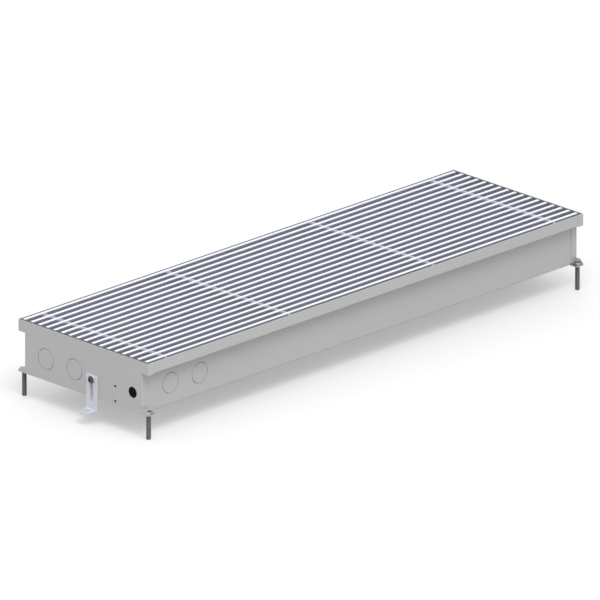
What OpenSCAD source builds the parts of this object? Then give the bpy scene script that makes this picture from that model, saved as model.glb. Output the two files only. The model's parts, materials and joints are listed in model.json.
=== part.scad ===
// Trench convector heater: a sheet-steel tray on four levelling screws, with a finned
// heat exchanger inside and a lift-off linear grille on top.
// X runs along the tray, Y across it and Z up. The origin lies on the floor below the
// middle of the tray. All sizes are in millimetres.

/* [Tray] */
// Length of the tray over the end panels
tray_l = 1000; // [900:10:1400]
// Width of the tray over the stepped rims
tray_w = 300; // [280:1:360]
// Height of the tray from its underside to the rim
tray_h = 90; // [86:1:110]
// How far each long side steps outward below the rim
step_out = 15; // [14:0.5:18]
// Height of the outward step
step_h = 20; // [18.5:0.5:24]
// Thickness of the sheet
sheet = 1.2; // [1:0.1:1.5]
// Inside radius of the bends in the sheet
bend_r = 0.7; // [0.6:0.1:1.2]
// Width of the return tabs that the end panels fold over the long sides
tab_w = 12.5; // [9:0.5:16]
// Gap between the tabs of the body and the ears above and below them
tab_relief = 1.5; // [1:0.5:3]

/* [Openings in the sheet] */
// Diameter of the knock-outs for the pipes
knock_d = 35; // [30:1:38]
// Width of the cut round a knock-out
knock_cut = 0.8; // [0.5:0.1:1.2]
// Width of the webs that hold a knock-out
knock_web = 3; // [2:0.5:4]
// Distance of the first side knock-out from the end of the tray
knock_in = 66; // [50:1:80]
// Diameter of the cable hole
cable_d = 19; // [16:0.5:22]
// Distance of the cable hole from the long side of the body
cable_in = 21.5; // [18:0.5:26]
// Height of the cable hole above the underside of the tray
cable_h = 32.5; // [25:0.5:40]
// Diameter of the two small holes beside the cable hole
pair_d = 4.5; // [3.5:0.1:5.5]
// Distance of the two small holes from the cable hole, across the tray
pair_out = 40; // [30:0.5:45]
// Distance between the two small holes, one above the other
pair_gap = 25.4; // [20:0.1:26]

/* [Levelling feet] */
// Height of the underside of the tray above the floor
foot_reach = 42; // [36:1:55]
// Diameter of the levelling screws
screw_d = 8; // [6:1:8]
// How far a levelling screw ends below the top of its nut
screw_under = 0.5; // [0:0.1:1]
// Distance of a levelling screw from the end of the tray
screw_in = 7; // [7:0.5:9]
// Distance of a levelling screw from the long side of the body
screw_out = 8; // [7:0.5:8.5]
// Thickness of a levelling lug
lug_t = 2.5; // [2:0.1:3]
// Length of a levelling lug along the tray
lug_l = 14; // [13:0.5:20]
// Width across the flats of the lug nuts
lug_nut_af = 11; // [10.5:0.5:11.5]
// Height of the lug nuts
lug_nut_h = 3.5; // [3:0.5:6]
// Height of the ears at the lower corners of the end panels
ear_h = 10; // [9:0.5:14]
// Chamfer on those ears
ear_edge = 7; // [3:0.5:8]

/* [Floor brackets] */
// Width of a floor bracket
bracket_w = 26; // [20:1:32]
// Thickness of a floor bracket
bracket_t = 2.5; // [2:0.1:3]
// Distance of a floor bracket from the middle of the tray, across it
bracket_off = 22; // [15:1:35]
// How far a bracket reaches below the underside of the tray
bracket_drop = 22; // [16:1:30]
// Reach of a bracket foot from the end panel
bracket_reach = 25; // [22:1:35]
// Width of the slot in a bracket
slot_w = 6.6; // [6.4:0.1:7]
// Length of the slot in a bracket
slot_l = 41; // [30:1:44]
// Height of the bracket above the middle of its bolt
bracket_over = 8; // [7.5:0.5:14]
// Diameter of the hole in a bracket foot
bracket_hole = 7; // [5:0.5:8]
// Height of the bracket bolt above the underside of the tray
bolt_h = 31; // [26:1:34]
// Diameter of the bracket bolt
bolt_d = 6; // [5:0.5:6]
// Diameter of the domed head of the bolt
bolt_head_d = 12.5; // [10.5:0.5:14]
// Height of the domed head of the bolt
bolt_head = 3.5; // [3:0.1:5]
// Width across the flats of the key hole in the head of the bolt
bolt_key = 4; // [3:0.5:5]
// Width across the flats of the weld nut of the bolt
bolt_nut_af = 10; // [9:0.5:12]
// Diameter of the washer
washer_d = 14.5; // [12:0.5:18]
// Thickness of the washer
washer_t = 1.6; // [1:0.1:2]
// Height of the weld nut behind the end panel
weld_nut_h = 5; // [4:0.5:6]

/* [Grille] */
// Distance between the middles of two bars
bar_pitch = 17.5; // [15:0.5:20]
// Width of a bar at its top
bar_w = 6.5; // [5:0.5:8]
// Height of the solid head of a bar
bar_head = 9; // [8:0.5:11]
// Thickness of the web below the head
bar_web = 2.2; // [1.6:0.1:3]
// Width of the foot of a bar
bar_foot = 4.5; // [3.5:0.5:6]
// Height of the foot of a bar
bar_foot_h = 2; // [1.5:0.5:3]
// Chamfer along the top edges of a bar
bar_edge = 0.5; // [0.3:0.1:1]
// How far the bars stand above the rim
grille_proud = 1; // [0:0.5:3]
// Least gap between the outer bars and the rims
grille_side = 3.5; // [3:0.5:5]
// Gap between the bars and the left end panel
grille_left = 2.3; // [1.5:0.1:4]
// Gap between the bars and the right end panel
grille_right = 5.3; // [1.5:0.1:8]
// Diameter of the cross rods
rod_d = 4; // [3:0.5:5]
// Diameter of the spacers between the bars
spacer_d = 8; // [7:0.5:9]
// Depth of the spacers below the top of the bars
spacer_deep = 0.8; // [0.5:0.1:2]
// Clearance of a rod in the bars and the spacers
rod_gap = 0.05; // [0.02:0.01:0.1]
// Diameter of the heads on the ends of the rods
rod_head_d = 6.5; // [6:0.5:7.5]
// Height of the heads on the ends of the rods
rod_head = 1.5; // [1:0.1:2]
// Distance of the first rod from the left end of the bars
rod_left = 44; // [30:1:80]
// Distance of the last rod from the right end of the bars
rod_right = 54; // [30:1:80]
// Distance from an outer rod to the next one
rod_step = 281; // [200:1:300]
// Thickness of the elastic strips under the grille
strip_t = 2.8; // [2:0.1:3.5]
// Width of the elastic strips on the ledges
strip_w = 10; // [8:0.5:11]

/* [Cross struts] */
// Width of a strut
strut_w = 20; // [15:1:30]
// Height of a strut
strut_h = 7.7; // [6:0.1:10]
// Distance of the struts from the middle of the tray
strut_x = 165; // [120:5:200]

/* [Heat exchanger] */
// Distance between the two pipe connections
port_gap = 66; // [60:1:75]
// Distance of the middle of the exchanger from the middle of the tray, across it
port_off = 53; // [45:1:55]
// Number of tubes
tube_count = 4; // [4:2:4]
// Outside diameter of the tubes
tube_d = 12.7; // [12:0.1:14]
// Wall of the tubes
tube_wall = 0.8; // [0.6:0.1:1]
// Clearance of the tubes in the fins, plates and sockets
tube_gap = 0.05; // [0.02:0.01:0.1]
// Length of the tube stubs outside the end plates
tube_stub = 9; // [8:1:14]
// Length of the widened tube ends that take the return bends
bell_l = 6; // [4:0.5:7]
// Free length between the left end panel and the exchanger
chamber_l = 175; // [160:5:220]
// Free length between the right end panel and the exchanger
far_l = 62; // [55:1:90]
// Width of the fins beyond the outer tubes
fin_edge = 22; // [16:1:24]
// Height of the fins above the bottom of the tray
fin_lift = 12.8; // [10:0.1:16]
// Gap between the fins and the struts
fin_drop = 3.5; // [1:0.5:5]
// Thickness of a fin
fin_t = 0.4; // [0.3:0.1:0.6]
// Distance between the middles of two fins
fin_pitch = 8; // [6:0.5:12]
// Thickness of the end plates
plate_t = 1.5; // [1:0.1:2]
// Width of the end plates beyond the fins
plate_edge = 3; // [2:0.5:4]
// Length of the feet of the end plates
plate_foot = 16; // [14:1:18]
// Distance of the foot studs from the edge of the foot
stud_in = 12; // [10:1:20]
// Diameter of the foot studs
stud_d = 5; // [4:0.5:5]
// Clearance of the foot studs in the feet
stud_gap = 0.3; // [0.2:0.05:0.5]
// Height of the foot studs
stud_h = 10; // [9:0.5:12]
// Width across the flats of the foot nuts
stud_nut_af = 8; // [7:0.5:8]
// Height of the foot nuts
stud_nut_h = 4; // [3:0.5:5]

/* [Pipe sockets] */
// Width across the flats of a socket
socket_af = 25; // [24:0.5:27]
// Length of a socket
socket_l = 27; // [25:1:32]
// Bore of the female pipe thread
thread_d = 18.6; // [17:0.1:19]
// Depth of the female pipe thread
thread_l = 14; // [12:0.5:15]
// Bore of the waterway behind the thread
water_d = 10; // [8:0.5:11]
// Depth of the cup that takes the tube
cup_l = 6; // [4:0.5:7]
// Diameter of the boss for the bleed screw
boss_d = 9; // [8:0.5:10]
// Height of the boss above the socket
boss_h = 5; // [4:0.5:7]
// Diameter of the bleed screw
vent_d = 5; // [4:0.5:5]
// Clearance of the bleed screw in its boss
vent_gap = 0.05; // [0.02:0.01:0.1]
// Diameter of the head of the bleed screw
vent_head_d = 8; // [7:0.5:9]
// Height of the head of the bleed screw
vent_head = 3; // [2:0.5:4]

/* [Air baffle] */
// Gap between the baffle and the fins
baffle_gap = 8; // [6:1:14]
// Width of the foot of the baffle
baffle_foot = 12; // [8:1:20]
// Thickness of the baffle
baffle_t = 1; // [0.8:0.1:1.5]

/* [Hidden] */
$fn = 48;

// How far a cutter runs past the piece that it cuts
over = 1;
// Straight pieces that each quarter bend of the sheet is drawn with
bend_steps = 4;
// Clearance of the levelling screws in their nuts
screw_gap = 0.05;
// Width and depth of the screwdriver slots
driver_w = 1.2;
driver_deep = 2;
// Chamfer on the ends of screws
tip_edge = 1;
// Height of the straight rim under the dome of a bolt head
dome_rim = 0.8;

// Heights
tray_z = foot_reach;
rim_z = tray_z + tray_h;
ledge_z = rim_z - step_h;
floor_top = tray_z + sheet;
ledge_top = ledge_z + sheet;
grille_z = ledge_top + strip_t;
grille_top = rim_z + grille_proud;
strut_z = ledge_top - strut_h;
fin_z0 = floor_top + fin_lift;
fin_z1 = strut_z - fin_drop;
port_z = (fin_z0 + fin_z1) / 2;

// Widths and lengths of the tray
half_l = tray_l / 2;
half_w = tray_w / 2;
body_half = half_w - step_out;
wall_in = body_half - 2 * sheet;
rim_in = half_w - 2 * sheet;
trough_l = tray_l - 2 * (sheet + bend_r);
bend_mid = bend_r + sheet / 2;

// Places of the holes
cable_y = cable_in - body_half;
pair_y = cable_y + pair_out;
bolt_z = tray_z + bolt_h;

// Levelling feet
screw_x = half_l - screw_in;
screw_y = body_half + screw_out;
screw_l = foot_reach + lug_t + lug_nut_h - screw_under;

// Grille
bar_x0 = grille_left + sheet - half_l;
bar_x1 = half_l - sheet - grille_right;
bar_l = bar_x1 - bar_x0;
bar_h = grille_top - grille_z;
bar_gaps = floor((2 * (rim_in - grille_side) - bar_w) / bar_pitch);
bar_y0 = -bar_gaps * bar_pitch / 2;
rod_z = grille_top - spacer_deep - spacer_d / 2;
rods = [bar_x0 + rod_left, bar_x0 + rod_left + rod_step, bar_x1 - rod_right - rod_step, bar_x1 - rod_right];

// Heat exchanger
tube_pitch = port_gap / (tube_count - 1);
tube_y0 = port_off - port_gap / 2;
fin_x0 = chamber_l - half_l;
fin_x1 = half_l - far_l;
fin_l = fin_x1 - fin_x0;
fin_w = port_gap + 2 * fin_edge;
fin_count = floor(fin_l / fin_pitch);
plate_w = fin_w + 2 * plate_edge;
plate_h = fin_z1 - floor_top;
tube_x0 = fin_x0 - plate_t - tube_stub;
tube_x1 = fin_x1 + plate_t + tube_stub;
bell_d = tube_d + 2 * (tube_wall + tube_gap);
stud_y = plate_w / 2 - stud_in;

// Pipe sockets
socket_x = tube_x0 + cup_l - socket_l;
vent_x = socket_x + thread_l + (socket_l - cup_l - thread_l) / 2;
boss_z = port_z + socket_af / 2 + boss_h;

// Colours
tray_grey = [0.69, 0.69, 0.69];
zinc = [0.78, 0.79, 0.83];
plain_steel = [0.6, 0.6, 0.6];
dark_steel = [0.36, 0.36, 0.37];
light_metal = [0.86, 0.87, 0.9];
copper = [0.78, 0.45, 0.3];
brass = [0.8, 0.66, 0.36];
rubber = [0.12, 0.12, 0.12];

// ---- Bent sheet ----

function unit(v) = v / norm(v);
function left_of(v) = [-v[1], v[0]];
function turned(v, a) = [v[0] * cos(a) - v[1] * sin(a), v[0] * sin(a) + v[1] * cos(a)];
function reversed(list) = [for (i = [len(list) - 1 : -1 : 0]) list[i]];

// Points of one side of a sheet bent at the corners of path, d to the left of its middle line.
// r is the radius of the middle line in each bend.
function sheet_side(path, d, r) = [
    for (i = [0 : len(path) - 1])
        let (
            from = max(i, 1),
            to = min(i + 1, len(path) - 1),
            u = unit(path[from] - path[from - 1]),
            v = unit(path[to] - path[to - 1]),
            side = sign(u[0] * v[1] - u[1] * v[0]),
            angle = acos(min(1, u * v)),
            middle = path[i] - r * tan(angle / 2) * u + side * r * left_of(u)
        )
        for (k = [0 : side == 0 ? 0 : bend_steps])
            side == 0
                ? path[i] + d * left_of(v)
                : middle + (d - side * r) * left_of(turned(u, side * angle * k / bend_steps))
];

// Cross-section of a sheet of thickness t bent at the corners of path
module bent_sheet(path, t, r) {
    polygon(concat(sheet_side(path, t / 2, r), reversed(sheet_side(path, -t / 2, r))));
}

// ---- Cutters and fasteners ----

// Interrupted ring round a knock-out, lying flat
module knock_out_ring() {
    linear_extrude(2 * over + 2 * sheet, center = true)
        difference() {
            circle(d = knock_d + knock_cut);
            circle(d = knock_d - knock_cut);
            for (a = [30, 150, 270])
                rotate(a)
                    translate([0, -knock_web / 2])
                        square([knock_d, knock_web]);
        }
}

// Turns a cutter that lies flat so that it goes through an end panel
module through_end(x, y, z) {
    translate([x, y, z])
        rotate([90, 0, 90])
            children();
}

// Round hole through a sheet that lies flat
module round_cut(d, t) {
    cylinder(h = t + 2 * over, d = d, center = true);
}

// Hexagon with chamfered corners on its top, as on nuts
module hexagon(af, h) {
    corner = af / cos(30);
    intersection() {
        cylinder(h = h, d = corner, $fn = 6);
        rotate_extrude()
            polygon([[0, 0], [corner / 2, 0], [corner / 2, h - corner / 20], [af / 2 * 0.96, h], [0, h]]);
    }
}

module hex_nut(af, h, bore) {
    difference() {
        hexagon(af, h);
        translate([0, 0, -over])
            cylinder(h = h + 2 * over, d = bore);
    }
}

// Domed bolt head with a key hole, standing on its flat side
module domed_head(d, h, key) {
    cap = h - dome_rim;
    ball = (d * d / 4 + cap * cap) / (2 * cap);
    difference() {
        intersection() {
            cylinder(h = h, d = d);
            translate([0, 0, h - ball])
                sphere(r = ball);
        }
        translate([0, 0, h - key / 2])
            cylinder(h = key, d = key / cos(30), $fn = 6);
    }
}

// ---- Tray ----

module trough() {
    rim_mid = rim_in + sheet / 2;
    wall_mid = wall_in + sheet / 2;
    path = [
        [-rim_mid, rim_z], [-rim_mid, ledge_z + sheet / 2], [-wall_mid, ledge_z + sheet / 2],
        [-wall_mid, tray_z + sheet / 2], [wall_mid, tray_z + sheet / 2],
        [wall_mid, ledge_z + sheet / 2], [rim_mid, ledge_z + sheet / 2], [rim_mid, rim_z]
    ];
    color(tray_grey)
        difference() {
            translate([-trough_l / 2, 0, 0])
                rotate([90, 0, 90])
                    linear_extrude(trough_l)
                        bent_sheet(path, sheet, bend_mid);
            for (x = [knock_in, knock_in + port_gap])
                translate([x - half_l, -wall_mid, port_z])
                    rotate([90, 0, 0])
                        knock_out_ring();
        }
}

// Part of an end panel with its two return tabs, outer faces half apart, from z0 up to z1
module folded_panel(half, z0, z1) {
    face = half_l - sheet / 2;
    tab = half_l - tab_w;
    y = half - sheet / 2;
    translate([0, 0, z0])
        linear_extrude(z1 - z0)
            bent_sheet([[tab, -y], [face, -y], [face, y], [tab, y]], sheet, bend_mid);
}

// Lower strip of the end panel at the right end, with an ear for a levelling lug on each side
module eared_strip() {
    low = tray_z + ear_h - ear_edge;
    top = tray_z + ear_h;
    shoulder = half_w - ear_edge;
    translate([half_l - sheet, 0, 0])
        rotate([90, 0, 90])
            linear_extrude(sheet)
                polygon([
                    [-half_w, tray_z], [half_w, tray_z], [half_w, low],
                    [shoulder, top], [-shoulder, top], [-half_w, low]
                ]);
}

// Blank end panel at the right end
module end_panel() {
    flat_half = body_half - sheet - bend_r;
    tab_low = tray_z + ear_h + tab_relief;
    tab_top = ledge_z - tab_relief;
    eared_strip();
    folded_panel(body_half, tab_low, tab_top);
    for (z = [tab_low - tab_relief, tab_top])
        translate([half_l - sheet, -flat_half, z])
            cube([sheet, 2 * flat_half, tab_relief]);
    folded_panel(half_w, ledge_z, rim_z);
}

module end_panel_left() {
    x = sheet / 2 - half_l;
    color(tray_grey)
        difference() {
            mirror([1, 0, 0])
                end_panel();
            for (y = [tube_y0, tube_y0 + port_gap])
                through_end(x, y, port_z)
                    knock_out_ring();
            through_end(x, cable_y, tray_z + cable_h)
                round_cut(cable_d, sheet);
            for (z = [0, -pair_gap])
                through_end(x, pair_y, tray_z + cable_h + z)
                    round_cut(pair_d, sheet);
            through_end(x, -bracket_off, bolt_z)
                round_cut(bolt_d, sheet);
        }
}

module end_panel_right() {
    color(tray_grey)
        difference() {
            end_panel();
            through_end(half_l - sheet / 2, -bracket_off, bolt_z)
                round_cut(bolt_d, sheet);
        }
}

// Channels, open below, that stand between the walls of the trough
module cross_struts() {
    side = strut_w / 2 - sheet / 2;
    web = strut_h - sheet / 2;
    color(tray_grey)
        for (x = [-strut_x, strut_x])
            translate([x, wall_in, strut_z])
                rotate([90, 0, 0])
                    linear_extrude(2 * wall_in)
                        bent_sheet([[-side, 0], [-side, web], [side, web], [side, 0]], sheet, bend_mid);
}

module strut_pads() {
    color(rubber)
        for (x = [-strut_x, strut_x])
            translate([x - strip_w / 2, -wall_in, ledge_top])
                cube([strip_w, 2 * wall_in, strip_t]);
}

module ledge_strips() {
    middle = (rim_in + wall_in) / 2;
    color(rubber)
        for (y = [-middle, middle])
            translate([-trough_l / 2, y - strip_w / 2, ledge_top])
                cube([trough_l, strip_w, strip_t]);
}

// ---- Levelling feet ----

// Places its children at the four corners, mirrored so that +X and +Y point outward
module at_corners() {
    for (x = [-1, 1], y = [-1, 1])
        translate([x * screw_x, y * screw_y, 0])
            mirror([x < 0 ? 1 : 0, 0, 0])
                mirror([0, y < 0 ? 1 : 0, 0])
                    children();
}

// Plates in the corners between the ears of the end panels and the walls of the trough
module levelling_lugs() {
    wall = wall_in + sheet;
    color(plain_steel)
        at_corners()
            translate([0, 0, tray_z])
                difference() {
                    translate([screw_in - sheet - lug_l, wall - screw_y, 0])
                        cube([lug_l, half_w - wall, lug_t]);
                    translate([0, 0, -over])
                        cylinder(h = lug_t + 2 * over, d = screw_d + 2 * screw_gap);
                }
}

module lug_nuts() {
    color(plain_steel)
        at_corners()
            translate([0, 0, tray_z + lug_t])
                rotate(30)
                    hex_nut(lug_nut_af, lug_nut_h, screw_d + 2 * screw_gap);
}

// Levelling screw on the corner that x and y point to, with a slot in its top
module levelling_screw(x, y) {
    r = screw_d / 2;
    color(dark_steel)
        translate([x * screw_x, y * screw_y, 0])
            difference() {
                rotate_extrude()
                    polygon([
                        [0, 0], [r - tip_edge, 0], [r, tip_edge],
                        [r, screw_l - tip_edge / 2], [r - tip_edge / 2, screw_l], [0, screw_l]
                    ]);
                translate([-screw_d, -driver_w / 2, screw_l - driver_deep])
                    cube([2 * screw_d, driver_w, driver_deep + over]);
            }
}

// ---- Floor brackets ----

// Slotted angle that stands against the left end panel
module floor_bracket() {
    mid = bracket_t / 2;
    low = tray_z - bracket_drop;
    top = bolt_z + bracket_over;
    slot_run = slot_l - slot_w;
    round_r = bracket_w / 2;
    foot_x = round_r - half_l - bracket_reach;
    path = [[-half_l - mid, top], [-half_l - mid, low + mid], [foot_x, low + mid]];
    translate([0, -bracket_off, 0])
        difference() {
            union() {
                translate([0, round_r, 0])
                    rotate([90, 0, 0])
                        linear_extrude(bracket_w)
                            bent_sheet(path, bracket_t, bracket_t);
                translate([foot_x, 0, low])
                    rotate(90)
                        rotate_extrude(angle = 180)
                            square([round_r, bracket_t]);
            }
            translate([foot_x, 0, low - over])
                cylinder(h = bracket_t + 2 * over, d = bracket_hole);
            translate([-half_l - mid, 0, bolt_z])
                rotate([90, 0, 90])
                    linear_extrude(bracket_t + 2 * over, center = true)
                        union() {
                            circle(d = slot_w);
                            translate([0, -slot_run])
                                circle(d = slot_w);
                            translate([-slot_w / 2, -slot_run])
                                square([slot_w, slot_run]);
                        }
        }
}

module floor_bracket_left() {
    color(zinc)
        floor_bracket();
}

module floor_bracket_right() {
    color(zinc)
        mirror([1, 0, 0])
            floor_bracket();
}

// Places its children on the bracket bolt at both ends, with their +Z pointing outward
module at_bracket_bolts(out) {
    for (side = [-1, 1])
        translate([side * (half_l + out), -bracket_off, bolt_z])
            rotate([0, side * 90, 0])
                children();
}

module bracket_bolts() {
    shank = washer_t + bracket_t + sheet + weld_nut_h + tip_edge;
    color(zinc)
        at_bracket_bolts(bracket_t + washer_t) {
            domed_head(bolt_head_d, bolt_head, bolt_key);
            translate([0, 0, -shank])
                cylinder(h = shank, d = bolt_d);
        }
}

module bracket_washers() {
    color(zinc)
        at_bracket_bolts(bracket_t)
            difference() {
                cylinder(h = washer_t, d = washer_d);
                translate([0, 0, -over])
                    cylinder(h = washer_t + 2 * over, d = bolt_d);
            }
}

module bracket_nuts() {
    color(zinc)
        at_bracket_bolts(-sheet - weld_nut_h)
            hex_nut(bolt_nut_af, weld_nut_h, bolt_d);
}

// ---- Grille ----

// Cross-section of a bar: a solid head, a thin web and a foot
module bar_section() {
    w = bar_w / 2;
    web = bar_web / 2;
    foot = bar_foot / 2;
    half = [
        [foot, 0], [foot, bar_foot_h], [web, bar_foot_h + foot - web],
        [web, bar_h - bar_head - w + web], [w, bar_h - bar_head],
        [w, bar_h - bar_edge], [w - bar_edge, bar_h]
    ];
    polygon(concat(half, [for (p = reversed(half)) [-p[0], p[1]]]));
}

// One long bar with the holes for the cross rods
module grille_bar() {
    difference() {
        translate([bar_x0, 0, grille_z])
            rotate([90, 0, 90])
                linear_extrude(bar_l)
                    bar_section();
        for (x = rods)
            translate([x, 0, rod_z])
                rotate([90, 0, 0])
                    cylinder(h = bar_w + 2 * over, d = rod_d + 2 * rod_gap, center = true);
    }
}

module grille_bars() {
    color(light_metal)
        for (i = [0 : bar_gaps])
            translate([0, bar_y0 + i * bar_pitch, 0])
                grille_bar();
}

// Rods through all bars, with a formed head on each end
module grille_rods() {
    reach = bar_w / 2 - bar_y0;
    end = reach + rod_head;
    r = rod_d / 2;
    head = rod_head_d / 2;
    color(light_metal)
        for (x = rods)
            translate([x, 0, rod_z])
                rotate([90, 0, 0])
                    rotate_extrude()
                        polygon([
                            [0, -end], [head, -end], [head, -reach], [r, -reach],
                            [r, reach], [head, reach], [head, end], [0, end]
                        ]);
}

// Tubes that keep the bars apart
module grille_spacers() {
    color(light_metal)
        for (x = rods, i = [0 : bar_gaps - 1])
            translate([x, bar_y0 + (i + 0.5) * bar_pitch, rod_z])
                rotate([90, 0, 0])
                    difference() {
                        cylinder(h = bar_pitch - bar_w, d = spacer_d, center = true);
                        cylinder(h = bar_pitch, d = rod_d + 2 * rod_gap, center = true);
                    }
}

// ---- Heat exchanger ----

// Row of the tube holes in a plate that lies across the tubes
module tube_holes(d) {
    for (i = [0 : tube_count - 1])
        translate([tube_y0 + i * tube_pitch, port_z])
            circle(d = d, $fn = 24);
}

module exchanger_fins() {
    first = fin_x0 + (fin_l - (fin_count - 1) * fin_pitch) / 2;
    color(light_metal)
        for (i = [0 : fin_count - 1])
            translate([first + i * fin_pitch - fin_t / 2, 0, 0])
                rotate([90, 0, 90])
                    linear_extrude(fin_t)
                        difference() {
                            translate([port_off - fin_w / 2, fin_z0])
                                square([fin_w, fin_z1 - fin_z0]);
                            tube_holes(tube_d + 2 * tube_gap);
                        }
}

// Copper tubes; the ends that take a return bend are widened
module exchanger_tubes() {
    r = tube_d / 2;
    bore = r - tube_wall;
    bell = bell_d / 2;
    cup = r + tube_gap;
    run = tube_x1 - tube_x0;
    color(copper)
        for (i = [0 : tube_count - 1])
            translate([tube_x0, tube_y0 + i * tube_pitch, port_z])
                rotate([0, 90, 0])
                    rotate_extrude()
                        polygon(concat(
                            i == 0 || i == tube_count - 1
                                ? [[bore, 0], [r, 0]]
                                : [
                                    [bore, bell_l], [cup, bell_l], [cup, 0],
                                    [bell, 0], [bell, bell_l + 1], [r, bell_l + 1]
                                ],
                            [
                                [r, run - bell_l - 1], [bell, run - bell_l - 1], [bell, run],
                                [cup, run], [cup, run - bell_l], [bore, run - bell_l]
                            ]
                        ));
}

// Half-round bend whose straight ends go into the widened ends of two tubes
module return_bend() {
    r = tube_d / 2;
    difference() {
        union() {
            rotate_extrude(angle = 180)
                translate([tube_pitch / 2, 0])
                    circle(r = r);
            for (x = [-1, 1])
                translate([x * tube_pitch / 2, 0, 0])
                    rotate([90, 0, 0])
                        cylinder(h = bell_l, r = r);
        }
        rotate_extrude(angle = 180)
            translate([tube_pitch / 2, 0])
                circle(r = r - tube_wall);
        for (x = [-1, 1])
            translate([x * tube_pitch / 2, 0, 0])
                rotate([90, 0, 0])
                    cylinder(h = bell_l + over, r = r - tube_wall);
    }
}

module return_bends() {
    color(copper) {
        for (i = [0 : 2 : tube_count - 2])
            translate([tube_x1, tube_y0 + (i + 0.5) * tube_pitch, port_z])
                rotate(-90)
                    return_bend();
        for (i = [1 : 2 : tube_count - 3])
            translate([tube_x0, tube_y0 + (i + 0.5) * tube_pitch, port_z])
                rotate(90)
                    return_bend();
    }
}

// End plate on the right end of the fins, with its foot turned away from them
module exchanger_end_plate() {
    mid = plate_t / 2;
    path = [[fin_x1 + mid, fin_z1], [fin_x1 + mid, floor_top + mid], [fin_x1 + plate_foot, floor_top + mid]];
    difference() {
        translate([0, port_off + plate_w / 2, 0])
            rotate([90, 0, 0])
                linear_extrude(plate_w)
                    bent_sheet(path, plate_t, plate_t);
        translate([fin_x1 - over, 0, 0])
            rotate([90, 0, 90])
                linear_extrude(plate_t + 2 * over)
                    tube_holes(tube_d + 2 * tube_gap);
        for (y = [-stud_y, stud_y])
            translate([fin_x1 + plate_foot / 2 + mid, port_off + y, floor_top - over])
                cylinder(h = plate_t + 2 * over, d = stud_d + 2 * stud_gap);
    }
}

// Moves its children from the right end of the exchanger to the left end as well
module at_exchanger_ends() {
    children();
    translate([fin_x0 + fin_x1, 0, 0])
        mirror([1, 0, 0])
            children();
}

module exchanger_end_plates() {
    color(zinc)
        at_exchanger_ends()
            exchanger_end_plate();
}

module at_foot_studs() {
    at_exchanger_ends()
        for (y = [-stud_y, stud_y])
            translate([fin_x1 + (plate_foot + plate_t) / 2, port_off + y, floor_top])
                children();
}

module foot_studs() {
    color(zinc)
        at_foot_studs()
            cylinder(h = stud_h, d = stud_d);
}

module foot_nuts() {
    color(zinc)
        at_foot_studs()
            translate([0, 0, plate_t])
                hex_nut(stud_nut_af, stud_nut_h, stud_d);
}

// ---- Pipe sockets ----

// Hexagonal socket with its thread, waterway and tube cup, its mouth at x = 0
module socket_body() {
    rotate([0, 90, 0])
        cylinder(h = socket_l, d = socket_af / cos(30), $fn = 6);
}

module socket_bores() {
    rotate([0, 90, 0]) {
        translate([0, 0, -over])
            cylinder(h = thread_l + over, d = thread_d);
        cylinder(h = socket_l, d = water_d);
        translate([0, 0, socket_l - cup_l])
            cylinder(h = cup_l + over, d = tube_d + 2 * tube_gap);
    }
}

module supply_socket() {
    color(brass)
        difference() {
            union() {
                translate([socket_x, tube_y0, port_z])
                    socket_body();
                translate([vent_x, tube_y0, port_z + socket_af / 2 - over])
                    cylinder(h = boss_h + over, d = boss_d);
            }
            translate([socket_x, tube_y0, port_z])
                socket_bores();
            translate([vent_x, tube_y0, port_z])
                cylinder(h = socket_af / 2 + boss_h + over, d = vent_d + 2 * vent_gap);
        }
}

module return_socket() {
    color(brass)
        translate([socket_x, tube_y0 + port_gap, port_z])
            difference() {
                socket_body();
                socket_bores();
            }
}

// Bleed screw with a slotted head; its tip closes the bore above the waterway
module vent_screw() {
    r = vent_d / 2;
    head = vent_head_d / 2;
    tip = port_z + water_d / 2;
    color(zinc)
        translate([vent_x, tube_y0, 0])
            difference() {
                rotate_extrude()
                    polygon([
                        [0, tip], [r - tip_edge, tip], [r, tip + tip_edge], [r, boss_z],
                        [head, boss_z], [head, boss_z + vent_head], [0, boss_z + vent_head]
                    ]);
                translate([-vent_head_d, -driver_w / 2, boss_z + vent_head / 2])
                    cube([2 * vent_head_d, driver_w, vent_head]);
            }
}

// ---- Air baffle ----

// Bent sheet that parts the falling air from the rising air
module air_baffle() {
    y = port_off - fin_w / 2 - baffle_gap - baffle_t / 2;
    low = floor_top + baffle_t / 2;
    color(tray_grey)
        translate([fin_x0, 0, 0])
            rotate([90, 0, 90])
                linear_extrude(fin_l)
                    bent_sheet([[y, fin_z1], [y, low], [y - baffle_foot, low]], baffle_t, baffle_t);
}

trough();
end_panel_left();
end_panel_right();
cross_struts();
strut_pads();
ledge_strips();
levelling_lugs();
lug_nuts();
levelling_screw(-1, -1);  // levelling_screw_1
levelling_screw(1, -1);  // levelling_screw_2
levelling_screw(1, 1);  // levelling_screw_3
levelling_screw(-1, 1);  // levelling_screw_4
floor_bracket_left();
floor_bracket_right();
bracket_bolts();
bracket_washers();
bracket_nuts();
grille_bars();
grille_rods();
grille_spacers();
exchanger_fins();
exchanger_tubes();
return_bends();
exchanger_end_plates();
foot_studs();
foot_nuts();
supply_socket();
return_socket();
vent_screw();
air_baffle();
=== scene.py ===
"""Studio scene of a trench convector heater: finishes, thread detail, floor, light and camera.

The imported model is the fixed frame. Everything is in metres, with X along the tray, Y across it
and Z up.
"""

import json
import math

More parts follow.
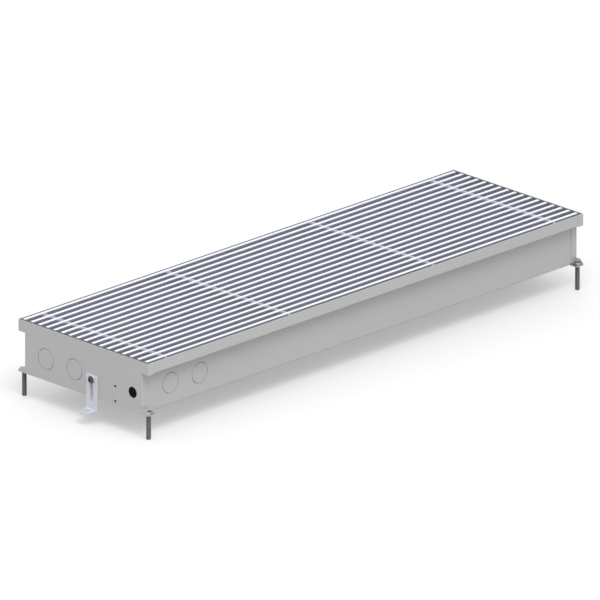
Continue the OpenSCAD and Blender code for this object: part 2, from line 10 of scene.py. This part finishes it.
import bpy
import numpy as np
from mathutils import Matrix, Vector


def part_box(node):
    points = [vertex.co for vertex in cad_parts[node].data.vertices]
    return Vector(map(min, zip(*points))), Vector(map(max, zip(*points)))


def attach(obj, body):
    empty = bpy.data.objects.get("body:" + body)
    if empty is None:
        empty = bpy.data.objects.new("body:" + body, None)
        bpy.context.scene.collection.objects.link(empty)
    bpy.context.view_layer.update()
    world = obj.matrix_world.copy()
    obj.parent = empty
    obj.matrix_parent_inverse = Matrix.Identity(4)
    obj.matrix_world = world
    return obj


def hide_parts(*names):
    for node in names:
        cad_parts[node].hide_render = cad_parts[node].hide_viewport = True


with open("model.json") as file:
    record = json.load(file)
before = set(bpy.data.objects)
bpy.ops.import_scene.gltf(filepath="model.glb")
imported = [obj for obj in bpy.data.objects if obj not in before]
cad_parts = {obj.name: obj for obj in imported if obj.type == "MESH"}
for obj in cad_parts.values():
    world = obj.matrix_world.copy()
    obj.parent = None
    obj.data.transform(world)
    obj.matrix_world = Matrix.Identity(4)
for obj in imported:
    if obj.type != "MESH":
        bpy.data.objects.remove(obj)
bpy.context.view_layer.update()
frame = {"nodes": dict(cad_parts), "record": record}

MM = 0.001
FULL_TURN = 2.0 * math.pi

# ---- Values inside a material ----


class Value:
    """A number that varies over a surface. Arithmetic on it adds the Math nodes."""

    def __init__(self, tree, socket):
        self.tree = tree
        self.socket = socket

    def _math(self, operation, *values):
        return self.tree.node("ShaderNodeMath", {"operation": operation}, dict(enumerate(values)))

    def __add__(self, other):
        return self._math("ADD", self, other)

    __radd__ = __add__

    def __mul__(self, other):
        return self._math("MULTIPLY", self, other)

    __rmul__ = __mul__

    def __sub__(self, other):
        return self._math("SUBTRACT", self, other)

    def __rsub__(self, other):
        return self._math("SUBTRACT", other, self)

    def __truediv__(self, other):
        return self._math("DIVIDE", self, other)

    def __gt__(self, other):
        return self._math("GREATER_THAN", self, other)

    def __lt__(self, other):
        return self._math("LESS_THAN", self, other)

    def sine(self):
        return self._math("SINE", self)

    def size(self):
        return self._math("ABSOLUTE", self)

    def saw(self):
        return self._math("FRACT", self)

    def angle_to(self, across):
        """Angle in radians of the point (across, self)."""
        return self._math("ARCTAN2", self, across)

    def between(self, low, high):
        """0 at low, 1 at high, straight in between and held beyond them."""
        return self.tree.node("ShaderNodeMapRange", {}, {0: self, 1: low, 2: high, 3: 0.0, 4: 1.0})


class Tree:
    """The nodes of a material or of the world.

    node() adds any node: its settings first, then the values or links of its sockets.
    """

    def __init__(self, owner):
        owner.use_nodes = True
        self.nodes = owner.node_tree.nodes
        self.links = owner.node_tree.links

    def node(self, kind, settings=None, inputs=None, output=0):
        made = self.nodes.new(kind)
        for key, value in (settings or {}).items():
            setattr(made, key, value)
        for key, value in (inputs or {}).items():
            self.put(made.inputs[key], value)
        return Value(self, made.outputs[output])

    def put(self, socket, value):
        if isinstance(value, Value):
            self.links.new(value.socket, socket)
        elif socket.type == "RGBA":
            socket.default_value = (*value, 1.0)
        else:
            socket.default_value = value

    def seen_directly(self):
        """1 for camera, mirror and glass rays, 0 for the rays that only carry light."""
        camera, mirror, glass = [
            self.node("ShaderNodeLightPath", {}, {}, f"Is {kind} Ray")
            for kind in ("Camera", "Glossy", "Transmission")
        ]
        return (camera + mirror + glass) > 0.5

    def colours(self, low, high, share):
        """Colour that goes from low to high as share goes from 0 to 1."""
        return self.node("ShaderNodeMix", {"data_type": "RGBA"}, {0: share, 6: low, 7: high}, 2)


class Finish(Tree):
    """One material with a Principled shader. shade() sets or links the shader's sockets."""

    def __init__(self, name, **constants):
        self.material = bpy.data.materials.new(name)
        super().__init__(self.material)
        self.shader = self.nodes["Principled BSDF"]
        self.place = self.node("ShaderNodeTexCoord", {}, {}, "Object")
        self.shade(**constants)

    def shade(self, **sockets):
        for key, value in sockets.items():
            self.put(self.shader.inputs[key.replace("_", " ")], value)

    def axes(self):
        """The place's three coordinates as separate values, in metres."""
        return [
            self.node("ShaderNodeSeparateXYZ", {}, {0: self.place}, number) for number in range(3)
        ]

    def stretched(self, x, y, z):
        """The place with its coordinates times x, y and z, so below 1 a pattern grows longer."""
        return self.node("ShaderNodeMapping", {}, {"Vector": self.place, "Scale": (x, y, z)})

    def noise(self, scale, detail=2.0, roughness=0.5, place=None):
        return self.node("ShaderNodeTexNoise", {}, {
            "Vector": place or self.place, "Scale": scale, "Detail": detail,
            "Roughness": roughness,
        })

    def relief(self, height, depth, strength, under=None):
        """Normal of a surface whose height runs over 0 to 1, depth metres deep."""
        inputs = {"Height": height, "Distance": depth, "Strength": strength}
        if under is not None:
            inputs["Normal"] = under
        return self.node("ShaderNodeBump", {}, inputs)


# ---- Finishes ----


def even_grey(level):
    return (level, level, level)


def tinted(finish, colour, low, high, share):
    """colour times low where share is 0 and times high where it is 1."""
    return finish.colours([c * low for c in colour], [c * high for c in colour], share)


def powder_coat(name, outside, inside, rough, half_length, half_width, step, half_rim, floor, fade):
    """Powder coat with an orange-peel skin, faint clouds and a fine speckle, black on every face
    that looks into the tray.

    The inside reaches to half_length and half_width above the floor, and to half_rim above the
    step. From the step up, over the height of the fade, the inside colour goes from black to an
    even mix of black and grey.
    """
    finish = Finish(name, Metallic=0.0, Specular_IOR_Level=0.12)
    peel = finish.noise(1400.0, 2.0)
    speckle = finish.noise(5200.0, 1.0)
    cloud = finish.noise(9.0, 3.0)
    x, y, z = finish.axes()
    width = (z > step) * (half_rim - half_width) + half_width
    within = (x.size() < half_length) * (y.size() < width) * (z > floor)
    # Above the step, over the height of the fade, the inside colour goes from black to an even mix
    # of black and grey
    rim_blend = z.between(step, step + fade) * 0.5
    grey = tinted(finish, outside, 0.965, 1.035, cloud * 0.7 + speckle * 0.3)
    black = tinted(finish, inside, 0.75, 1.35, cloud * 0.4 + peel * 0.6)
    finish.shade(
        Base_Color=finish.colours(grey, black, within * (1.0 - rim_blend)),
        Roughness=(cloud - 0.5) * 0.10 + (speckle - 0.5) * 0.12 + rough,
        Normal=finish.relief(peel * 0.75 + speckle * 0.25, 0.02 * MM, 0.6),
    )
    return finish.material


def zinc_plate(name, colour, rough, metal):
    """Bright zinc plate: faint spangle patches, fine rolling lines and small dull spots."""
    finish = Finish(name, Metallic=metal)
    patches = finish.node(
        "ShaderNodeTexVoronoi", {"feature": "F1"}, {"Vector": finish.place, "Scale": 420.0})
    lines = finish.noise(300.0, 2.0, 0.6, finish.stretched(1.0, 14.0, 1.0))
    dull = finish.noise(160.0, 4.0).between(0.5, 0.75)
    finish.shade(
        Base_Color=tinted(finish, colour, 0.90, 1.06, patches * 0.5 + lines * 0.5),
        Roughness=(lines - 0.5) * 0.12 + dull * 0.12 + rough,
        Normal=finish.relief(lines, 0.01 * MM, 0.5),
    )
    return finish.material


def polished_plate(name, colour, rough):
    """Polished plate with a soft haze and hair-fine scratches."""
    finish = Finish(name, Metallic=1.0)
    haze = finish.noise(700.0, 4.0)
    hair = finish.noise(900.0, 2.0, 0.7, finish.stretched(1.0, 1.0, 20.0))
    finish.shade(
        Base_Color=tinted(finish, colour, 0.88, 1.10, haze),
        Roughness=(haze - 0.5) * 0.10 + (hair - 0.5) * 0.05 + rough,
        Normal=finish.relief(hair, 0.004 * MM, 0.4),
    )
    return finish.material


def dark_thread_steel(name, colour, rough):
    """Dark phosphated steel: mottled, with brighter rubbed patches."""
    finish = Finish(name, Metallic=0.85)
    mottle = finish.noise(1200.0, 4.0)
    rubbed = finish.noise(260.0, 3.0).between(0.45, 0.8)
    finish.shade(
        Base_Color=tinted(finish, colour, 0.75, 1.45, mottle * 0.6 + rubbed * 0.4),
        Roughness=(mottle - 0.5) * 0.20 - rubbed * 0.08 + rough,
        Normal=finish.relief(mottle, 0.015 * MM, 0.5),
    )
    return finish.material


def anodised_bars(name, colour, rough, metal):
    """Anodised aluminium: long extrusion lines along X and a very fine satin grain."""
    finish = Finish(name, Metallic=metal)
    drawn = finish.noise(900.0, 3.0, 0.6, finish.stretched(0.004, 1.0, 1.0))
    grain = finish.noise(4200.0, 2.0)
    cloud = finish.noise(14.0, 3.0)
    finish.shade(
        Base_Color=tinted(finish, colour, 0.94, 1.04, drawn * 0.5 + cloud * 0.3 + grain * 0.2),
        Roughness=(drawn - 0.5) * 0.12 + (grain - 0.5) * 0.10 + rough,
        Normal=finish.relief(drawn * 0.7 + grain * 0.3, 0.006 * MM, 0.5),
    )
    return finish.material


def mill_fins(name, colour, rough, pitch):
    """Mill-finish aluminium sheet: shallow ripples pressed across each fin, one every pitch,
    with rolling marks and dull clouds."""
    finish = Finish(name, Metallic=1.0)
    y = finish.axes()[1]
    ripple = (y * (FULL_TURN / pitch)).sine() * 0.5 + 0.5
    marks = finish.noise(500.0, 3.0, 0.6, finish.stretched(1.0, 0.08, 1.0))
    cloud = finish.noise(35.0, 3.0)
    finish.shade(
        Base_Color=tinted(finish, colour, 0.85, 1.05, marks * 0.5 + cloud * 0.5),
        Roughness=(marks - 0.5) * 0.14 + (cloud - 0.5) * 0.10 + rough,
        Normal=finish.relief(ripple * 0.9 + marks * 0.1, 0.25 * MM, 0.7),
    )
    return finish.material


def drawn_copper(name, colour, brown, rough):
    """Drawn copper tube: lines along the tube, with brown tarnish in patches."""
    finish = Finish(name, Metallic=1.0)
    lines = finish.noise(700.0, 2.0, 0.6, finish.stretched(0.01, 1.0, 1.0))
    tarnish = finish.noise(48.0, 5.0, 0.6).between(0.42, 0.72)
    bright = tinted(finish, colour, 0.92, 1.06, lines)
    finish.shade(
        Base_Color=finish.colours(brown, bright, 1.0 - tarnish * 0.55),
        Roughness=tarnish * 0.22 + (lines - 0.5) * 0.08 + rough,
        Normal=finish.relief(lines, 0.008 * MM, 0.5),
    )
    return finish.material


def machined_brass(name, colour, rough, ports, mouth, bore, depth, pitch, ridge_height):
    """Machined brass: turning marks round X and faint stains.

    Inside each port, up to depth behind the mouth, the thread is a triangle wave of place along X
    over the pitch plus angle over a full turn.
    """
    finish = Finish(name, Metallic=1.0)
    x, y, z = finish.axes()
    turned = finish.noise(2600.0, 2.0, 0.5, finish.stretched(1.0, 0.02, 0.02))
    stain = finish.noise(60.0, 4.0).between(0.45, 0.8)
    reach = bore * 1.02
    thread = 0.0
    for port_y, port_z in ports:
        across, up = y - port_y, z - port_z
        wave = (x / pitch + up.angle_to(across) / FULL_TURN).saw()
        ridge = 1.0 - (wave * 2.0 - 1.0).size()
        inside = ((across * across + up * up) < reach ** 2) * (x < mouth + depth)
        thread = thread + ridge * inside
    finish.shade(
        Base_Color=tinted(finish, colour, 0.86, 1.06, turned * 0.5 + (1.0 - stain) * 0.5),
        Roughness=stain * 0.16 + (turned - 0.5) * 0.10 + rough,
        Normal=finish.relief(thread, ridge_height, 1.0, finish.relief(turned, 0.006 * MM, 0.5)),
    )
    return finish.material


def matt_rubber(name, colour, rough):
    """Matt elastomer: fine grain with a little dust in it."""
    finish = Finish(name, Metallic=0.0, Specular_IOR_Level=0.3)
    grain = finish.noise(2400.0, 3.0)
    dust = finish.noise(120.0, 4.0).between(0.5, 0.85)
    finish.shade(
        Base_Color=tinted(finish, colour, 0.8, 2.2, dust * 0.5 + grain * 0.3),
        Roughness=(grain - 0.5) * 0.12 + rough,
        Normal=finish.relief(grain, 0.03 * MM, 0.6),
    )
    return finish.material


def box_of(node):
    """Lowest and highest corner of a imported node, in metres."""
    low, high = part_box(node)
    return np.array(low), np.array(high)


supply_low, supply_high = box_of("supply_socket")
return_low, return_high = box_of("return_socket")
# The return socket has no boss, so its box gives the height of both ports
port_height = (return_low[2] + return_high[2]) / 2
ports = [
    ((supply_low[1] + supply_high[1]) / 2, port_height),
    ((return_low[1] + return_high[1]) / 2, port_height),
]

finishes = {
    # The tray's lengths run to the middle of its sheet, which parts its inside from its outside
    "tray_steel": powder_coat(
        "tray_coat", outside=even_grey(0.58), inside=(0.011, 0.011, 0.012), rough=0.50,
        half_length=499.4 * MM, half_width=133.2 * MM, step=112.6 * MM, half_rim=148.2 * MM,
        floor=42.6 * MM, fade=20.0 * MM),
    "zinc_steel": zinc_plate("bright_zinc", (0.70, 0.71, 0.79), rough=0.36, metal=0.10),
    "lug_steel": zinc_plate("plain_steel", (0.45, 0.45, 0.455), rough=0.18, metal=1.0),
    "bolt_steel": polished_plate("polished_bolt", (0.09, 0.09, 0.095), rough=0.14),
    "screw_steel": dark_thread_steel("dark_screw_steel", (0.165, 0.165, 0.167), rough=0.42),
    "grille_aluminium": anodised_bars(
        "satin_anodised", (0.63, 0.65, 0.73), rough=0.30, metal=0.72),
    # The spacers take the bars' finish in a darker colour: painted shade, for their place below the
    # tops of the bars
    "spacer_tube": anodised_bars("spacer_painted_shade", (0.42, 0.43, 0.48), rough=0.38, metal=0.72),
    "fin_aluminium": mill_fins("mill_fin_sheet", (0.74, 0.75, 0.77), rough=0.30, pitch=5.5 * MM),
    "copper_tube": drawn_copper(
        "drawn_copper", (0.80, 0.42, 0.27), brown=(0.30, 0.13, 0.075), rough=0.24),
    "brass_fitting": machined_brass(
        "machined_brass", (0.78, 0.60, 0.30), rough=0.26, ports=ports, mouth=supply_low[0],
        bore=9.3 * MM, depth=14.0 * MM, pitch=1.814 * MM, ridge_height=0.7 * MM),
    "black_rubber": matt_rubber("matt_black_rubber", even_grey(0.03), rough=0.80),
}

for part in frame["record"]["subparts"]:
    for material_slot in frame["nodes"][part["node"]].material_slots:
        material_slot.material = finishes[part["material_slot"]]
# The spacer rows get the darker copy of the bar finish, which paints the shade between the bars
for material_slot in frame["nodes"]["grille_spacers"].material_slots:
    material_slot.material = finishes["spacer_tube"]

# ---- Broken edges ----


def broken_edges(node, width, sharpest=30.0, skin_gap=0.002 * MM):
    """Rounds the edges that turn by more than sharpest degrees, by width. The loose triangles are
    joined first where their corners lie within skin_gap."""
    piece = frame["nodes"][node]
    weld = piece.modifiers.new("one_skin", "WELD")
    weld.merge_threshold = skin_gap
    edge = piece.modifiers.new("broken_edge", "BEVEL")
    edge.width, edge.segments = width, 2
    edge.limit_method, edge.angle_limit = "ANGLE", math.radians(sharpest)
    edge.use_clamp_overlap, edge.harden_normals = True, True


for node, width in {
    "bracket_bolts": 0.45, "lug_nuts": 0.3, "levelling_lugs": 0.35,
    "floor_bracket_left": 0.35, "floor_bracket_right": 0.35, "bracket_washers": 0.2,
}.items():
    broken_edges(node, width * MM)

# ---- Threaded screws ----


def mesh_piece(name, vertices, faces, finish, smooth=True):
    """A mesh at the origin with one finish."""
    mesh = bpy.data.meshes.new(name)
    mesh.from_pydata(vertices.tolist(), [], faces)
    mesh.materials.append(finish)
    if smooth:
        mesh.shade_smooth()
    else:
        mesh.shade_flat()
    piece = bpy.data.objects.new(name, mesh)
    bpy.context.scene.collection.objects.link(piece)
    return piece


def ring_faces(rings, around):
    """Quads between neighbouring rings of a closed grid, with a many-sided cap on both ends."""
    i, j = np.meshgrid(np.arange(rings - 1), np.arange(around), indexing="ij")
    k = (j + 1) % around
    low, high = i * around, (i + 1) * around
    quads = np.stack([low + j, low + k, high + k, high + j], -1)
    faces = quads.reshape(-1, 4).tolist()
    faces.append(list(range(around))[::-1])
    faces.append(list(range((rings - 1) * around, rings * around)))
    return faces


def threaded_rod(low, high, radius, pitch, depth, tip, flat=0.15, around=28, steps=6):
    """Grid of a threaded rod that fills the box from low to high.

    At height z and angle a the radius is the crest less depth times a triangle wave of z / pitch
    - a / turn. The wave is held level over the share flat at its top and at its bottom. The
    radius is never more than a cone that starts at radius - tip on both ends. Each turn of the
    thread has steps rings, and each ring has around points.
    """
    length = high[2] - low[2]
    rings = int(length / pitch * steps) + 1
    z = np.linspace(0.0, length, rings)[:, None]
    a = np.linspace(0.0, FULL_TURN, around, endpoint=False)[None, :]
    phase = (z / pitch - a / FULL_TURN) % 1.0
    wave = np.clip(np.abs(2.0 * phase - 1.0) * (1.0 + 2.0 * flat) - flat, 0.0, 1.0)
    r = np.minimum(radius - depth * wave, radius - tip + np.minimum(z, length - z))
    middle = (low[:2] + high[:2]) / 2
    height = np.broadcast_to(low[2] + z, r.shape)
    grid = np.stack([middle[0] + r * np.cos(a), middle[1] + r * np.sin(a), height], -1)
    return grid.reshape(-1, 3), ring_faces(rings, around)


def box_mesh(name, low, high, finish):
    """Plain box used as a cutter. Its corners are every choice of low or high on the three axes."""
    corners = np.stack(np.meshgrid(*zip(low, high), indexing="ij"), -1).reshape(-1, 3)
    faces = [(0, 1, 3, 2), (4, 6, 7, 5), (0, 4, 5, 1), (2, 3, 7, 6), (0, 2, 6, 4), (1, 5, 7, 3)]
    return mesh_piece(name, corners, faces, finish, smooth=False)


def cut_slot(piece, cutter):
    """Takes the cutter's space out of the piece, and drops the cutter."""
    cut = piece.modifiers.new("slot", "BOOLEAN")
    cut.operation, cut.solver, cut.object = "DIFFERENCE", "EXACT", cutter
    done = piece.evaluated_get(bpy.context.evaluated_depsgraph_get())
    mesh = bpy.data.meshes.new_from_object(done)
    mesh.name = piece.name
    piece.modifiers.clear()
    piece.data = mesh
    bpy.data.objects.remove(cutter)


def slot_cutter(low, high, half_width, depth, finish, over=1.0 * MM):
    """Cutter for a screwdriver slot along X in the top of the box from low to high."""
    middle = (low[1] + high[1]) / 2
    return box_mesh(
        "slot_cutter",
        (low[0] - over, middle - half_width, high[2] - depth),
        (high[0] + over, middle + half_width, high[2] + over),
        finish,
    )


for number in range(1, 5):
    node = f"levelling_screw_{number}"
    low, high = box_of(node)
    points, faces = threaded_rod(
        low, high, radius=4.0 * MM, pitch=1.25 * MM, depth=0.72 * MM, tip=1.0 * MM)
    steel = finishes["screw_steel"]
    screw = mesh_piece(f"screw_thread_{number}", points, faces, steel)
    cut_slot(screw, slot_cutter(low, high, half_width=0.6 * MM, depth=2.0 * MM, finish=steel))
    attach(screw, node)
    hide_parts(node)

# ---- Floor, world, lamps and camera ----


def studio_floor(seen, bounce, glow, reach):
    """Large white plane. Rays that see it directly get the grey seen and a little glow, so that
    only its shadow is grey. Rays that only carry light get the grey bounce."""
    finish = Finish("studio_floor", Roughness=0.9, Specular_IOR_Level=0.0, Emission_Strength=1.0)
    direct = finish.seen_directly()
    finish.shade(
        Base_Color=finish.colours(even_grey(bounce), even_grey(seen), direct),
        Emission_Color=finish.colours(even_grey(0.0), even_grey(glow), direct),
    )
    corners = np.array([(-1.0, -1.0, 0.0), (1.0, -1.0, 0.0), (1.0, 1.0, 0.0), (-1.0, 1.0, 0.0)])
    floor = mesh_piece(
        "studio_floor", corners * reach, [(0, 1, 2, 3)], finish.material, smooth=False)


def studio_world(level):
    """Even sky: white where it is seen directly, and level where it only lights."""
    world = bpy.data.worlds.new("studio")
    bpy.context.scene.world = world
    sky = Tree(world)
    background = sky.nodes["Background"]
    sky.put(background.inputs["Color"], even_grey(1.0))
    sky.put(background.inputs["Strength"], sky.seen_directly() * (1.0 - level) + level)


def softbox(name, place, aim, width, height, power):
    """Rectangular lamp at a place, turned towards a point, with its power in watts."""
    lamp = bpy.data.lights.new(name, "AREA")
    lamp.shape, lamp.size, lamp.size_y, lamp.energy = "RECTANGLE", width, height, power
    holder = bpy.data.objects.new(name, lamp)
    holder.location = place
    holder.rotation_mode = "QUATERNION"
    holder.rotation_quaternion = (Vector(aim) - Vector(place)).to_track_quat("-Z", "Y")
    bpy.context.scene.collection.objects.link(holder)


def long_lens_camera(azimuth, elevation, aim, distance, lens):
    """Camera far off on a long lens, at the photograph's angle. Angles are in degrees, the
    distance in metres and the lens in millimetres."""
    a, e = math.radians(azimuth), math.radians(elevation)
    back = Vector((math.sin(a) * math.cos(e), -math.cos(a) * math.cos(e), math.sin(e)))
    data = bpy.data.cameras.new("camera")
    data.lens, data.sensor_width = lens, 36.0
    data.clip_start, data.clip_end = 1.0, 100.0
    camera = bpy.data.objects.new("camera", data)
    camera.rotation_mode = "QUATERNION"
    camera.location = Vector(aim) + back * distance
    camera.rotation_quaternion = (-back).to_track_quat("-Z", "Y")
    bpy.context.scene.collection.objects.link(camera)
    bpy.context.scene.camera = camera


studio_floor(seen=0.60, bounce=0.44, glow=0.355, reach=14.0)
studio_world(level=0.80)
softbox(
    "key_softbox", place=(-1.1, -1.6, 3.3), aim=(0.0, 0.0, 0.05), width=2.0, height=2.0,
    power=60.0)
softbox(
    "back_softbox", place=(1.8, 1.8, 1.5), aim=(0.0, 0.0, 0.1), width=2.2, height=1.2, power=8.0)
long_lens_camera(
    azimuth=-44.978, elevation=20.2505, aim=(-0.0056126, 0.0, 0.0744704), distance=40.6435,
    lens=1500.0)
bpy.context.scene.view_settings.view_transform = "Standard"
